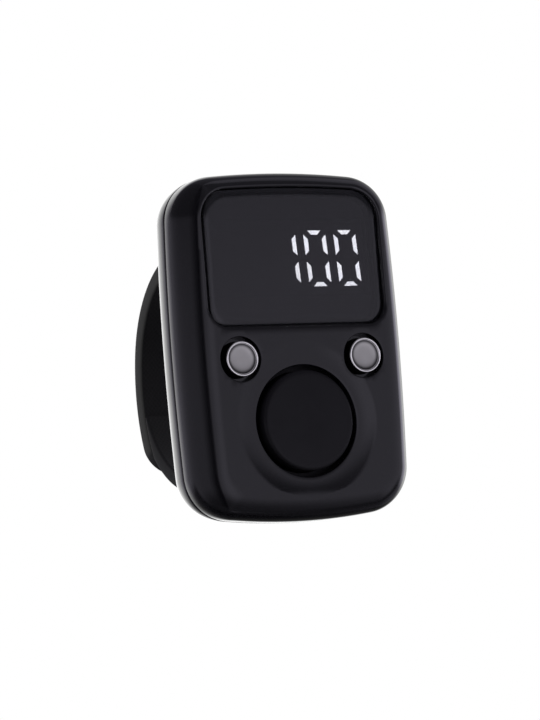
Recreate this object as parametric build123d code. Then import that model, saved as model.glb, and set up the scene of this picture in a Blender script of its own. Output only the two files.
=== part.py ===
"""Finger-worn digital prayer counter: a moulded case with a lit display, three buttons and a strap loop.

The counter is drawn lying on its back: X across the case, Y from the count button up to the display,
Z out of the face, with the flat of the face at Z = 0. stand_up() then turns it upright, face towards -Y,
with the origin under the middle of the whole counter. All sizes are in millimetres and degrees.
"""

import os
from math import acos, cos, degrees, radians, sin, sqrt, tan

from build123d import *

# Case outline, seen from the front
CASE_WIDTH = 26.8
CASE_HEIGHT = 38.0
SIDE_BOW = 0.55
TOP_BOW = 0.85
BOTTOM_BOW = 1.2
TOP_CORNER = 5.0
BOTTOM_CORNER = 5.2

# Case depth, walls and edges
CASE_DEPTH = 10.9
SEAM_DEPTH = 4.7
WALL = 1.2
FACE_WALL = 2.1
FRONT_EDGE_ROUND = 3.2
REAR_EDGE_ROUND = 3.0
REAR_DRAFT_ANGLE = 10.0
REAR_CORNER_EASE = 2.0
INNER_ROUND = 1.0
LIP_HEIGHT = 0.8
LIP_WALL = 0.6
FIT_GAP = 0.1

# Display window: a smoked lens taped into a pocket in the face
WINDOW_SIDE_MARGIN = 2.65
WINDOW_TOP_MARGIN = 1.9
WINDOW_BOTTOM = 1.95
WINDOW_TOP_BOW = 0.45
WINDOW_TOP_CORNER = 3.3
WINDOW_BOTTOM_CORNER = 2.3
LENS_RECESS = 0.6
LENS_THICKNESS = 0.8
LENS_EDGE_ROUND = 0.3
TAPE_THICKNESS = 0.1
TAPE_MARGIN = 0.25
TAPE_WIDTH = 0.6

# Lit display: five seven-segment digits in a moulded reflector
DIGITS = "  100"
DIGIT_HEIGHT = 6.12
DIGIT_WIDTH = 3.0
DIGIT_PITCH = 3.75
STROKE = 0.47
MITRE = 0.6
MIDDLE_GAP = 0.4
SEGMENT_DEPTH = 0.5
DISPLAY_MARGIN_X = 0.3
DISPLAY_MARGIN_Y = 1.0
DISPLAY_LENS_GAP = 0.6

# Circuit board and what is soldered to it
BOARD_FRONT = 5.0
BOARD_THICKNESS = 1.0
BOARD_WALL_GAP = 0.7
SWITCH_SIDE = 4.2
SWITCH_HEIGHT = 1.4
SWITCH_FLOOR = 0.3
STEM_RADIUS = 0.9
STEM_RISE = 0.7
STEM_LENGTH = 1.2
STEM_GAP = 0.06
CHIP_SIDE = 4.0
CHIP_HEIGHT = 0.9
CHIP_Y = 0.9
RESISTOR_SIZE = (1.6, 0.8, 0.5)
RESISTOR_COLUMNS = 4
RESISTOR_PITCH = 2.6
RESISTOR_DISPLAY_GAP = 0.8

# Count button
COUNT_Y = -8.35
COUNT_HOLE_RADIUS = 6.05
COUNT_SIDE_GAP = 0.6
COUNT_PROUD = 0.5
COUNT_DOME = 0.15
COUNT_EDGE_ROUND = 0.5
COUNT_CAP_WALL = 1.1
DISH_RADIUS = 8.4
DISH_DEPTH = 0.3
DISH_LIFT = 0.02

# Small buttons, one each side above the count button
SMALL_X = 7.5
SMALL_Y = -1.5
SMALL_CAP_RADIUS = 1.9
SMALL_SIDE_GAP = 0.12
SMALL_PROUD = 0.4
SMALL_RIM = 0.22
SMALL_DISH_DEPTH = 0.22
RECESS_RADIUS = 2.4
RECESS_DEPTH = 1.2

# Flanges that keep the buttons in the case
FLANGE_OVERLAP = 0.55
FLANGE_THICKNESS = 0.55
FLANGE_GAP = 0.05
POST_RADIUS = 1.2

# Case screws
SCREW_SIDE_INSET = 3.7
SCREW_TOP_INSET = 3.85
SCREW_BOTTOM_INSET = 4.0
SCREW_RADIUS = 0.7
SCREW_HEAD_RADIUS = 1.15
SCREW_HEAD_HEIGHT = 0.9
SCREW_SEAT = 8.2
SCREW_BITE = 2.0
SCREW_GAP = 0.05
BOSS_RADIUS = 1.5
SLOT_WIDTH = 0.3
SLOT_DEPTH = 0.4

# Rechargeable cell and its leads
CELL_SIDE_GAP = 3.9
CELL_TOP_GAP = 9.9
CELL_SOCKET_GAP = 0.6
CELL_BOARD_GAP = 0.4
CELL_ROUND = 1.2
FOAM_THICKNESS = 0.3
FOAM_MARGIN = 1.5
LEAD_RADIUS = 0.35
LEAD_SPACING = 2.4
LEAD_REACH = 2.6

# Charging socket, in the end wall below the count button, let into a notch in the board
SOCKET_WIDTH = 8.94
SOCKET_HEIGHT = 3.16
SOCKET_CORNER = 1.25
SOCKET_LENGTH = 7.0
SOCKET_WALL = 0.3
SOCKET_SETBACK = 1.3
SOCKET_FLOOR_GAP = 0.8
SOCKET_NOTCH_GAP = 0.15
SOCKET_HOLE_GAP = 0.2
TONGUE_WIDTH = 6.7
TONGUE_THICKNESS = 0.7
TONGUE_SETBACK = 0.8
INSULATOR_LENGTH = 1.6

# Strap: two woven halves looped on pins, overlapping and gripping each other face to face
STRAP_WIDTH = 10.0
STRAP_THICKNESS = 1.8
LOOP_RADIUS = 12.0
LOOP_STANDOFF = 7.4
LOOP_Y = -0.7
TAIL_START_ANGLE = 14.0
TAIL_SWEEP_ANGLE = 43.5
TAIL_EASE = 5.9
TAIL_TIP_ROUND = 3.5
TONGUE_TIP_ANGLE = -20.0
LAYER_GAP = 0.1
KNUCKLE_RADIUS = 1.6
PIN_RADIUS = 0.6
PIN_GAP = 0.03
PIN_STANDOFF = 1.8
PIN_INSET = 0.2
EAR_THICKNESS = 1.6
EAR_RADIUS = 1.7
EAR_GAP = 0.15

# Heights worked out from the sizes above, all below the face
LENS_BACK = LENS_RECESS + LENS_THICKNESS
LEDGE_FRONT = LENS_BACK + TAPE_THICKNESS
DISPLAY_FRONT = LENS_BACK + DISPLAY_LENS_GAP
BOARD_BACK = BOARD_FRONT + BOARD_THICKNESS
CASE_FLOOR = CASE_DEPTH - WALL
SWITCH_TOP = BOARD_FRONT - SWITCH_HEIGHT
STEM_TOP = SWITCH_TOP - STEM_RISE
FLANGE_TOP = FACE_WALL + FLANGE_GAP
FLANGE_BOTTOM = FLANGE_TOP + FLANGE_THICKNESS
DISPLAY_WIDTH = len(DIGITS) * DIGIT_PITCH + 2 * DISPLAY_MARGIN_X
DISPLAY_HEIGHT = DIGIT_HEIGHT + 2 * DISPLAY_MARGIN_Y
WINDOW_WIDTH = CASE_WIDTH - 2 * WINDOW_SIDE_MARGIN
WINDOW_TOP = CASE_HEIGHT / 2 - WINDOW_TOP_MARGIN
DISPLAY_Y = (WINDOW_TOP + WINDOW_BOTTOM) / 2
SCREW_X = CASE_WIDTH / 2 - SIDE_BOW - SCREW_SIDE_INSET
SCREW_TOP_Y = CASE_HEIGHT / 2 - TOP_BOW - SCREW_TOP_INSET
SCREW_BOTTOM_Y = BOTTOM_BOW - CASE_HEIGHT / 2 + SCREW_BOTTOM_INSET
SCREWS = [(side * SCREW_X, y) for y in (SCREW_TOP_Y, SCREW_BOTTOM_Y) for side in (-1, 1)]


def slab(profile, top, bottom):
    """A flat profile given thickness, from top down to bottom, both measured below the face."""
    return extrude(Pos(0, 0, -bottom) * profile, bottom - top)


def drum(x, y, radius, top, bottom):
    """An upright cylinder at x, y from top down to bottom, both measured below the face."""
    return slab(Pos(x, y) * Circle(radius), top, bottom)


def bowed_outline(half_width, top, bottom, side_bow, top_bow, bottom_bow, top_corner, bottom_corner):
    """A four-sided outline whose sides are shallow arcs and whose corners are rounded."""
    corner_x = half_width - side_bow
    middle = (top + bottom) / 2
    low, high = bottom + bottom_bow, top - top_bow

    def side(start, through, end, bow):
        return ThreePointArc(start, through, end) if bow else Line(start, end)

    edges = [
        side((corner_x, low), (half_width, middle), (corner_x, high), side_bow),
        side((corner_x, high), (0, top), (-corner_x, high), top_bow),
        side((-corner_x, high), (-half_width, middle), (-corner_x, low), side_bow),
        side((-corner_x, low), (0, bottom), (corner_x, low), bottom_bow),
    ]
    face = make_face(edges)
    face = fillet(face.vertices().sort_by(Axis.Y)[:2], bottom_corner)
    return fillet(face.vertices().sort_by(Axis.Y)[-2:], top_corner)


def case_outline(inset=0.0):
    """The case seen from the front, drawn in all round by inset."""
    half = CASE_HEIGHT / 2
    corners = (TOP_CORNER, BOTTOM_CORNER)
    face = bowed_outline(CASE_WIDTH / 2, half, -half, SIDE_BOW, TOP_BOW, BOTTOM_BOW, *corners)
    return offset(face, -inset) if inset else face


def window_outline(inset=0.0):
    """The display window, drawn in all round by inset."""
    corners = (WINDOW_TOP_CORNER, WINDOW_BOTTOM_CORNER)
    face = bowed_outline(WINDOW_WIDTH / 2, WINDOW_TOP, WINDOW_BOTTOM, 0, WINDOW_TOP_BOW, 0, *corners)
    return offset(face, -inset) if inset else face


def display_opening(gap):
    """The hole in the pocket's ledge that the display looks through."""
    return Pos(0, DISPLAY_Y) * Rectangle(DISPLAY_WIDTH + 2 * gap, DISPLAY_HEIGHT + 2 * gap)


def count_dish():
    """A shallow hollow round the count button that eases out into the face, DISH_DEPTH deep at the button."""
    floor = (COUNT_HOLE_RADIUS, -DISH_DEPTH)
    rim = (DISH_RADIUS, DISH_LIFT)
    ease = Spline(floor, rim, tangents=((1, 0), (1, 0)))
    rest = Polyline(rim, (DISH_RADIUS, FACE_WALL), (0, FACE_WALL), (0, -DISH_DEPTH), floor)
    section = make_face([ease] + list(rest.edges()))
    return Pos(0, COUNT_Y, 0) * revolve(Plane.XZ * section, Axis.Z)


def front_shell():
    """Front half of the case, with the window pocket, the button holes and the screw bosses."""
    shell = slab(case_outline(), 0, SEAM_DEPTH)
    shell = fillet(shell.faces().sort_by(Axis.Z)[-1].edges(), FRONT_EDGE_ROUND)
    shell -= count_dish()

    cavity = slab(case_outline(WALL), FACE_WALL, SEAM_DEPTH)
    shell -= fillet(cavity.faces().sort_by(Axis.Z)[-1].edges(), INNER_ROUND)
    for x, y in SCREWS:
        shell += drum(x, y, BOSS_RADIUS, FACE_WALL, BOARD_FRONT)
        shell -= drum(x, y, SCREW_RADIUS + SCREW_GAP, BOARD_BACK - SCREW_BITE - BOARD_THICKNESS, BOARD_FRONT)

    shell -= slab(window_outline(), -FACE_WALL, LEDGE_FRONT)
    shell -= slab(display_opening(FIT_GAP), 0, FACE_WALL)
    shell -= drum(0, COUNT_Y, COUNT_HOLE_RADIUS, -FACE_WALL, FACE_WALL)
    for side in (-1, 1):
        hole = SMALL_CAP_RADIUS + SMALL_SIDE_GAP
        shell -= drum(side * SMALL_X, SMALL_Y, hole, -FACE_WALL, FACE_WALL)
        shell -= drum(side * SMALL_X, SMALL_Y, RECESS_RADIUS, -FACE_WALL, RECESS_DEPTH)
    return shell


def rear_outline(depth, inset):
    """The rear shell's outline at a depth below the face: drafted in, its corners easing as it goes back."""
    back = (depth - SEAM_DEPTH) / (CASE_DEPTH - SEAM_DEPTH)
    drawn = inset + (depth - SEAM_DEPTH) * tan(radians(REAR_DRAFT_ANGLE))
    corner = back * REAR_CORNER_EASE - inset
    half = CASE_HEIGHT / 2 - drawn
    corners = (TOP_CORNER + corner, BOTTOM_CORNER + corner)
    face = bowed_outline(CASE_WIDTH / 2 - drawn, half, -half, SIDE_BOW, TOP_BOW, BOTTOM_BOW, *corners)
    return Pos(0, 0, -depth) * face


def rear_form(inset, depth, edge_round):
    """The rear shell's outside, or its cavity with a wall's inset, from the seam down to depth."""
    form = loft([rear_outline(SEAM_DEPTH, inset), rear_outline(depth, inset)], ruled=True)
    return fillet(form.faces().sort_by(Axis.Z)[0].edges(), edge_round)


def rear_shell():
    """Rear half of the case: drafted sides, locating lip, screw posts, strap ears and the socket's hole."""
    shell = rear_form(0, CASE_DEPTH, REAR_EDGE_ROUND)
    shell -= rear_form(WALL, CASE_FLOOR, REAR_EDGE_ROUND - WALL)

    lip_outline = WALL + FIT_GAP
    lip_inside = case_outline(lip_outline + LIP_WALL)
    lip = slab(case_outline(lip_outline) - lip_inside, SEAM_DEPTH - LIP_HEIGHT, SEAM_DEPTH)
    root = slab(case_outline(WALL / 2) - lip_inside, SEAM_DEPTH, SEAM_DEPTH + LIP_WALL)
    shell += lip + root
    for x, y in SCREWS:
        shell += drum(x, y, BOSS_RADIUS, BOARD_BACK, CASE_FLOOR)
        shell -= drum(x, y, SCREW_RADIUS + SCREW_GAP, SEAM_DEPTH, CASE_DEPTH)
        shell -= drum(x, y, SCREW_HEAD_RADIUS + SCREW_GAP, SCREW_SEAT, CASE_DEPTH)
        shell -= drum(x, y, BOSS_RADIUS + FIT_GAP, 0, BOARD_BACK)
    shell += strap_ears()
    return shell - socket_block(SOCKET_HOLE_GAP, -CASE_HEIGHT / 2, SOCKET_BACK)


# Strap: points on the loop are given by an angle, 0 straight back from the face and 90 towards the display
LOOP_Z = -(CASE_DEPTH + LOOP_STANDOFF)
PIN_Z = -(CASE_DEPTH + PIN_STANDOFF)
MID_RADIUS = LOOP_RADIUS + STRAP_THICKNESS / 2
PIN_ANGLE = degrees(acos((LOOP_Z - PIN_Z) / MID_RADIUS))
OUTER_RADIUS = LOOP_RADIUS + STRAP_THICKNESS
TAIL_Y = LOOP_Y - TAIL_EASE * sin(radians(TAIL_START_ANGLE))
TAIL_Z = LOOP_Z + TAIL_EASE * cos(radians(TAIL_START_ANGLE))
TAIL_INNER = LOOP_RADIUS + TAIL_EASE
TAIL_OUTER = TAIL_INNER + STRAP_THICKNESS


def on_loop(radius, angle):
    """A point in the Y, Z plane on a circle about the loop's centre."""
    return LOOP_Y + radius * sin(radians(angle)), LOOP_Z - radius * cos(radians(angle))


def on_tail(radius, angle):
    """A point in the Y, Z plane on a circle about the centre that the strap's free tail curves round."""
    return TAIL_Y + radius * sin(radians(angle)), TAIL_Z - radius * cos(radians(angle))


def arc(place, radius, start, end):
    """An arc on the loop or the tail between two angles."""
    return ThreePointArc(place(radius, start), place(radius, (start + end) / 2), place(radius, end))


def pin_point(side):
    """Where a strap pin crosses the Y, Z plane: side is 1 at the display end and -1 at the button end."""
    return on_loop(MID_RADIUS, side * PIN_ANGLE)


def across(profile, width):
    """A profile in the Y, Z plane given a width across the strap."""
    return extrude(Plane.YZ * profile, width / 2, both=True)


def disc_across(point, radius, width):
    """A cylinder across the strap, centred on a point in the Y, Z plane."""
    return across(Pos(*point) * Circle(radius), width)


def strap_ears():
    """Two pairs of ears on the back of the case, drilled for the strap pins."""
    ears = []
    for side in (-1, 1):
        y, z = pin_point(side)
        height = -z - CASE_DEPTH + WALL / 2
        tab = Pos(y, z) * Circle(EAR_RADIUS) + Pos(y, z + height / 2) * Rectangle(2 * EAR_RADIUS, height)
        for hand in (-1, 1):
            x = hand * (STRAP_WIDTH / 2 + EAR_GAP + EAR_THICKNESS / 2)
            ear = Pos(x, 0, 0) * across(tab, EAR_THICKNESS)
            ears.append(ear - Pos(x, 0, 0) * disc_across((y, z), PIN_RADIUS + PIN_GAP, EAR_THICKNESS))
    return ears


def strap_pin(side):
    """A plain steel pin through a strap half and its two ears."""
    length = STRAP_WIDTH + 2 * (EAR_GAP + EAR_THICKNESS - PIN_INSET)
    return disc_across(pin_point(side), PIN_RADIUS, length)


def tail_at(angle, clearance):
    """How far from the loop's centre the tail's inner face lies at an angle, less a clearance."""
    swing = cos(radians(TAIL_START_ANGLE - angle))
    radius = TAIL_INNER - clearance
    return sqrt(radius**2 - TAIL_EASE**2 * (1 - swing**2)) - TAIL_EASE * swing


def upper_strap():
    """The long half: from its pin at the display end round the finger to a tail over the short half."""
    tail_end = TAIL_START_ANGLE - TAIL_SWEEP_ANGLE
    profile = make_face(
        [
            arc(on_loop, OUTER_RADIUS, PIN_ANGLE, TAIL_START_ANGLE),
            arc(on_tail, TAIL_OUTER, TAIL_START_ANGLE, tail_end),
            Line(on_tail(TAIL_OUTER, tail_end), on_tail(TAIL_INNER, tail_end)),
            arc(on_tail, TAIL_INNER, tail_end, TAIL_START_ANGLE),
            arc(on_loop, LOOP_RADIUS, TAIL_START_ANGLE, PIN_ANGLE),
            Line(on_loop(LOOP_RADIUS, PIN_ANGLE), on_loop(OUTER_RADIUS, PIN_ANGLE)),
        ]
    )
    strap = across(profile, STRAP_WIDTH)
    tip = strap.faces().filter_by(GeomType.PLANE).sort_by(Axis.Y)[0]
    strap = fillet(tip.edges().filter_by(Axis.X, reverse=True), TAIL_TIP_ROUND)
    strap += disc_across(pin_point(1), KNUCKLE_RADIUS, STRAP_WIDTH)
    return strap - disc_across(pin_point(1), PIN_RADIUS + PIN_GAP, STRAP_WIDTH)


def lower_strap():
    """The short half: from its pin at the button end to a tongue that thins out under the tail."""
    reach = (TAIL_INNER - LAYER_GAP) ** 2 - OUTER_RADIUS**2 - TAIL_EASE**2
    meet = TAIL_START_ANGLE - degrees(acos(reach / (2 * OUTER_RADIUS * TAIL_EASE)))
    tip_radius = tail_at(TONGUE_TIP_ANGLE, LAYER_GAP)
    middle = (meet + TONGUE_TIP_ANGLE) / 2
    profile = make_face(
        [
            arc(on_loop, LOOP_RADIUS, -PIN_ANGLE, TONGUE_TIP_ANGLE),
            Line(on_loop(LOOP_RADIUS, TONGUE_TIP_ANGLE), on_loop(tip_radius, TONGUE_TIP_ANGLE)),
            ThreePointArc(
                on_loop(tip_radius, TONGUE_TIP_ANGLE),
                on_loop(tail_at(middle, LAYER_GAP), middle),
                on_loop(OUTER_RADIUS, meet),
            ),
            arc(on_loop, OUTER_RADIUS, meet, -PIN_ANGLE),
            Line(on_loop(OUTER_RADIUS, -PIN_ANGLE), on_loop(LOOP_RADIUS, -PIN_ANGLE)),
        ]
    )
    strap = across(profile, STRAP_WIDTH)
    strap += disc_across(pin_point(-1), KNUCKLE_RADIUS, STRAP_WIDTH)
    return strap - disc_across(pin_point(-1), PIN_RADIUS + PIN_GAP, STRAP_WIDTH)


# Window and display
def display_lens():
    """The smoked lens that lies in the window pocket."""
    lens = slab(window_outline(FIT_GAP), LENS_RECESS, LENS_BACK)
    return fillet(lens.faces().sort_by(Axis.Z)[-1].edges(), LENS_EDGE_ROUND)


def lens_tape():
    """A frame of double-sided tape between the lens and its ledge."""
    edge = FIT_GAP + TAPE_MARGIN
    return slab(window_outline(edge) - window_outline(edge + TAPE_WIDTH), LENS_BACK, LEDGE_FRONT)


def segment_outlines():
    """The seven bars of one digit about its centre, lettered a to g from the top round to the middle."""
    w, h, s = DIGIT_WIDTH / 2, DIGIT_HEIGHT / 2, STROKE

    def bar(*points):
        return make_face(Polyline(*points, close=True))

    def upright(side, way):
        top, low = way * (h - MITRE), way * MIDDLE_GAP
        inner = side * (w - s)
        return bar((side * w, top), (inner, top - way * s), (inner, low + way * s), (side * w, low))

    def level(way):
        outer, inner = way * h, way * (h - s)
        return bar((-end, outer), (end, outer), (end - s, inner), (s - end, inner))

    end = w - MITRE
    neck, half = end - s / 2, s / 2
    middle = bar((-end, 0), (-neck, half), (neck, half), (end, 0), (neck, -half), (-neck, -half))
    return {
        "a": level(1), "b": upright(1, 1), "c": upright(1, -1), "d": level(-1),
        "e": upright(-1, -1), "f": upright(-1, 1), "g": middle,
    }


LIT = {" ": "", "0": "abcdef", "1": "bc"}


def display_segments(lit):
    """Every bar of the display that is lit, or every one that is dark, as separate solids."""
    bars = []
    for place, digit in enumerate(DIGITS):
        x = (place - (len(DIGITS) - 1) / 2) * DIGIT_PITCH
        for letter, outline in segment_outlines().items():
            if (letter in LIT[digit]) == lit:
                bars.append(slab(Pos(x, DISPLAY_Y) * outline, DISPLAY_FRONT, DISPLAY_FRONT + SEGMENT_DEPTH))
    return bars


def display_housing():
    """The reflector block of the display, with a pocket for every bar."""
    block = slab(display_opening(0), DISPLAY_FRONT, BOARD_FRONT)
    for x, y in SCREWS:
        block -= drum(x, y, BOSS_RADIUS + FIT_GAP, DISPLAY_FRONT, BOARD_FRONT)
    return block - display_segments(True) - display_segments(False)


# Board
def main_board():
    """The circuit board, clamped between the screw bosses of the two shells."""
    board = slab(case_outline(WALL + BOARD_WALL_GAP), BOARD_FRONT, BOARD_BACK)
    for x, y in SCREWS:
        board -= drum(x, y, SCREW_RADIUS + SCREW_GAP, BOARD_FRONT, BOARD_BACK)
    depth = SOCKET_BACK + SOCKET_NOTCH_GAP + CASE_HEIGHT / 2
    notch = Rectangle(SOCKET_WIDTH + 2 * SOCKET_NOTCH_GAP, depth, align=(Align.CENTER, Align.MIN))
    return board - slab(Pos(0, -CASE_HEIGHT / 2) * notch, BOARD_FRONT, BOARD_BACK)


def switch_body(x, y):
    """A square tactile switch with a round well for its stem."""
    body = slab(Pos(x, y) * RectangleRounded(SWITCH_SIDE, SWITCH_SIDE, SWITCH_FLOOR), SWITCH_TOP, BOARD_FRONT)
    return body - drum(x, y, STEM_RADIUS + STEM_GAP, SWITCH_TOP, BOARD_FRONT - SWITCH_FLOOR)


def switch_stem(x, y):
    """The stem that a button presses into the switch."""
    return drum(x, y, STEM_RADIUS, STEM_TOP, STEM_TOP + STEM_LENGTH)


def chip():
    """The counter's controller, between the two small switches."""
    return slab(Pos(0, CHIP_Y) * Rectangle(CHIP_SIDE, CHIP_SIDE), BOARD_FRONT - CHIP_HEIGHT, BOARD_FRONT)


def resistors():
    """A row of chip resistors on the board, just above the display."""
    length, width, height = RESISTOR_SIZE
    y = DISPLAY_Y + DISPLAY_HEIGHT / 2 + RESISTOR_DISPLAY_GAP + width / 2
    row = []
    for number in range(RESISTOR_COLUMNS):
        x = (number - (RESISTOR_COLUMNS - 1) / 2) * RESISTOR_PITCH
        row.append(slab(Pos(x, y) * Rectangle(length, width), BOARD_FRONT - height, BOARD_FRONT))
    return row


# Buttons
def count_button():
    """The count button: a hollow domed cap with a keeper flange and a post over its switch."""
    radius = COUNT_HOLE_RADIUS - COUNT_SIDE_GAP
    flange = radius + COUNT_SIDE_GAP + FLANGE_OVERLAP
    inner = radius - COUNT_CAP_WALL
    dome = radius**2 / (2 * COUNT_DOME)
    cap = drum(0, COUNT_Y, radius, -COUNT_PROUD, FLANGE_BOTTOM)
    cap &= Pos(0, COUNT_Y, COUNT_PROUD - dome) * Sphere(dome)
    crown = cap.faces().sort_by(Axis.Z)[-1]
    cap = fillet(crown.edges(), COUNT_EDGE_ROUND)
    cap += drum(0, COUNT_Y, flange, FLANGE_TOP, FLANGE_BOTTOM)
    cap -= drum(0, COUNT_Y, inner, COUNT_CAP_WALL - COUNT_PROUD, FLANGE_BOTTOM)
    return cap + drum(0, COUNT_Y, POST_RADIUS, COUNT_CAP_WALL - COUNT_PROUD, STEM_TOP)


def small_button(side):
    """A small metal button with a bright rim, a dished top, a keeper flange and a post over its switch."""
    radius, rim = SMALL_CAP_RADIUS, SMALL_RIM
    flange = radius + SMALL_SIDE_GAP + FLANGE_OVERLAP
    dish_radius = radius - rim
    dish = (dish_radius**2 + SMALL_DISH_DEPTH**2) / (2 * SMALL_DISH_DEPTH)
    x = side * SMALL_X
    cap = drum(x, SMALL_Y, radius, -SMALL_PROUD, FLANGE_BOTTOM)
    cap = fillet(cap.faces().sort_by(Axis.Z)[-1].edges(), rim)
    cap -= Pos(x, SMALL_Y, SMALL_PROUD - SMALL_DISH_DEPTH + dish) * Sphere(dish)
    cap += drum(x, SMALL_Y, flange, FLANGE_TOP, FLANGE_BOTTOM)
    return cap + drum(x, SMALL_Y, POST_RADIUS, FLANGE_BOTTOM, STEM_TOP)


# Fasteners, power
def case_screws():
    """Four small screws through the rear shell and the board into the front shell's bosses."""
    screws = []
    for x, y in SCREWS:
        head = drum(x, y, SCREW_HEAD_RADIUS, SCREW_SEAT, SCREW_SEAT + SCREW_HEAD_HEIGHT)
        head = fillet(head.faces().sort_by(Axis.Z)[0].edges(), SCREW_HEAD_HEIGHT / 3)
        for turn in (0, 90):
            slot = Pos(x, y) * Rot(0, 0, turn) * Rectangle(1.4 * SCREW_HEAD_RADIUS, SLOT_WIDTH)
            bottom = SCREW_SEAT + SCREW_HEAD_HEIGHT
            head -= slab(slot, bottom - SLOT_DEPTH, bottom)
        screws.append(head + drum(x, y, SCREW_RADIUS, BOARD_FRONT - SCREW_BITE, SCREW_SEAT))
    return screws


SOCKET_Z = SOCKET_FLOOR_GAP + SOCKET_HEIGHT / 2 - CASE_FLOOR
SOCKET_MOUTH = SOCKET_SETBACK - CASE_HEIGHT / 2
SOCKET_BACK = SOCKET_MOUTH + SOCKET_LENGTH


def socket_block(grow, start, end):
    """A bar along Y with rounded corners, as wide and high as the socket plus a margin."""
    size = (SOCKET_WIDTH + 2 * grow, SOCKET_HEIGHT + 2 * grow)
    plane = Plane(origin=(0, start, SOCKET_Z), x_dir=(1, 0, 0), z_dir=(0, 1, 0))
    return extrude(plane * RectangleRounded(*size, SOCKET_CORNER + grow), end - start)


def socket_shell():
    """The steel shell of the charging socket."""
    return socket_block(0, SOCKET_MOUTH, SOCKET_BACK) - socket_block(-SOCKET_WALL, SOCKET_MOUTH, SOCKET_BACK)


def socket_tongue():
    """The contact tongue and the insulator that closes the back of the socket."""
    root = SOCKET_BACK - INSULATOR_LENGTH
    tip = SOCKET_MOUTH + TONGUE_SETBACK
    tongue = Box(TONGUE_WIDTH, root - tip, TONGUE_THICKNESS)
    return socket_block(-SOCKET_WALL, root, SOCKET_BACK) + Pos(0, (root + tip) / 2, SOCKET_Z) * tongue


CELL_FRONT = BOARD_BACK + CELL_BOARD_GAP
CELL_BACK = CASE_FLOOR - FOAM_THICKNESS
CELL_TOP = CASE_HEIGHT / 2 - CELL_TOP_GAP
CELL_BOTTOM = SOCKET_BACK + CELL_SOCKET_GAP
CELL_WIDTH = CASE_WIDTH - 2 * (WALL + CELL_SIDE_GAP)


def cell_outline(margin):
    """The cell seen from the front, drawn in by margin."""
    size = (CELL_WIDTH - 2 * margin, CELL_TOP - CELL_BOTTOM - 2 * margin)
    return Pos(0, (CELL_TOP + CELL_BOTTOM) / 2) * Rectangle(*size)


def battery_cell():
    """A flat pouch cell with rounded long edges."""
    cell = slab(cell_outline(0), CELL_FRONT, CELL_BACK)
    return fillet(cell.edges().filter_by(Axis.Y), min(CELL_ROUND, 0.4 * (CELL_BACK - CELL_FRONT)))


def battery_foam():
    """The foam tape that holds the cell to the floor of the case."""
    return slab(cell_outline(FOAM_MARGIN), CELL_BACK, CASE_FLOOR)


def battery_lead(side):
    """One lead: out of the end of the cell, up and on to its pad on the board."""
    x = side * LEAD_SPACING / 2
    height = -(CELL_FRONT + CELL_BACK) / 2
    rise = -BOARD_BACK - height
    corner = (x, CELL_TOP + LEAD_REACH, height)
    pad = (x, CELL_TOP + LEAD_REACH, height + rise)
    path = FilletPolyline((x, CELL_TOP, height), corner, pad, radius=0.45 * rise)
    return sweep(Plane(origin=path @ 0, z_dir=path % 0) * Circle(LEAD_RADIUS), path)


def assembly():
    """Every piece of the counter by name, lying on its back."""
    pieces = {
        "front_shell": front_shell(),
        "rear_shell": rear_shell(),
        "display_lens": display_lens(),
        "lens_tape": lens_tape(),
        "display_housing": display_housing(),
        "lit_segments": display_segments(True),
        "dark_segments": display_segments(False),
        "main_board": main_board(),
        "controller_chip": chip(),
        "resistors": resistors(),
        "count_button": count_button(),
        "case_screws": case_screws(),
        "battery_cell": battery_cell(),
        "battery_foam": battery_foam(),
        "battery_lead_positive": battery_lead(-1),
        "battery_lead_negative": battery_lead(1),
        "socket_shell": socket_shell(),
        "socket_tongue": socket_tongue(),
        "upper_strap": upper_strap(),
        "lower_strap": lower_strap(),
        "upper_strap_pin": strap_pin(1),
        "lower_strap_pin": strap_pin(-1),
    }
    switches = {"count": (0, COUNT_Y), "left": (-SMALL_X, SMALL_Y), "right": (SMALL_X, SMALL_Y)}
    for name, (x, y) in switches.items():
        pieces[f"{name}_switch_body"] = switch_body(x, y)
        pieces[f"{name}_switch_stem"] = switch_stem(x, y)
    pieces["left_button"] = small_button(-1)
    pieces["right_button"] = small_button(1)
    return {name: Compound(shape) if isinstance(shape, list) else shape for name, shape in pieces.items()}


def stand_up(pieces):
    """Turns the pieces upright and puts the origin under the middle of the whole counter."""
    upright = {name: Rot(90, 0, 0) * shape for name, shape in pieces.items()}
    box = Compound(list(upright.values())).bounding_box()
    shift = (-(box.min.X + box.max.X) / 2, -(box.min.Y + box.max.Y) / 2, -box.min.Z)
    return {name: Pos(*shift) * shape for name, shape in upright.items()}


os.makedirs("parts", exist_ok=True)
for name, shape in stand_up(assembly()).items():
    export_step(shape, f"parts/{name}.step")
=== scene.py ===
from math import acos, atan2, cos, hypot, pi, radians, sin, sqrt, tan

import bmesh
import bpy
import numpy as np
from mathutils import Matrix, Vector
from mathutils.geometry import delaunay_2d_cdt


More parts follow.
